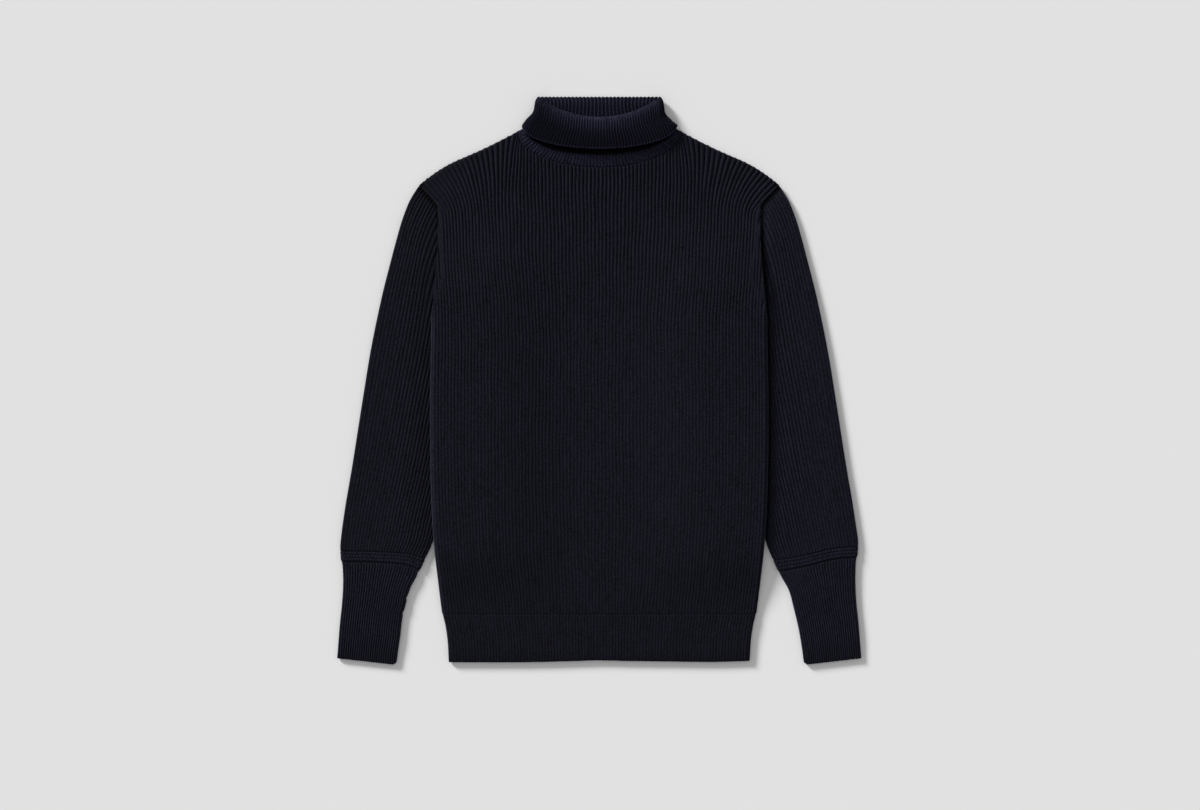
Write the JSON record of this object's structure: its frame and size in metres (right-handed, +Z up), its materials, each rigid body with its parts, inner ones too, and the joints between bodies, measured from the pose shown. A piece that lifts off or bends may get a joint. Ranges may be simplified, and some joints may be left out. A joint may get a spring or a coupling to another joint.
{
  "type": "turtleneck sweater",
  "caption": "Rib knit turtleneck sweater laid flat on its back, sleeves down along the sides and tucked under the body, collar turned down, with ribbed hem and cuffs.",
  "frame": {"origin": "middle of the sweater's bounding box, on the surface that it lies on", "axes": "+X to the right as seen from above, +Y from the hem to the neck, +Z up from the surface"},
  "size_m": [0.6904, 0.748, 0.015],
  "materials": {
    "body_knit": "heavy navy wool knitted in deep ribs, matt with a soft nap",
    "sleeve_knit": "the same navy wool rib, along the sleeve",
    "cuff_knit": "navy wool in a firmer rib with a band of purl rows at its top",
    "collar_knit": "navy wool in a fine firm rib, matt"
  },
  "bodies": {
    "root": {"front": "body_knit", "back": "body_knit", "hem_band": "body_knit", "sleeve_left": "sleeve_knit", "sleeve_right": "sleeve_knit", "cuff_left": "cuff_knit", "cuff_right": "cuff_knit", "collar": "collar_knit"}
  },
  "joints": []
}
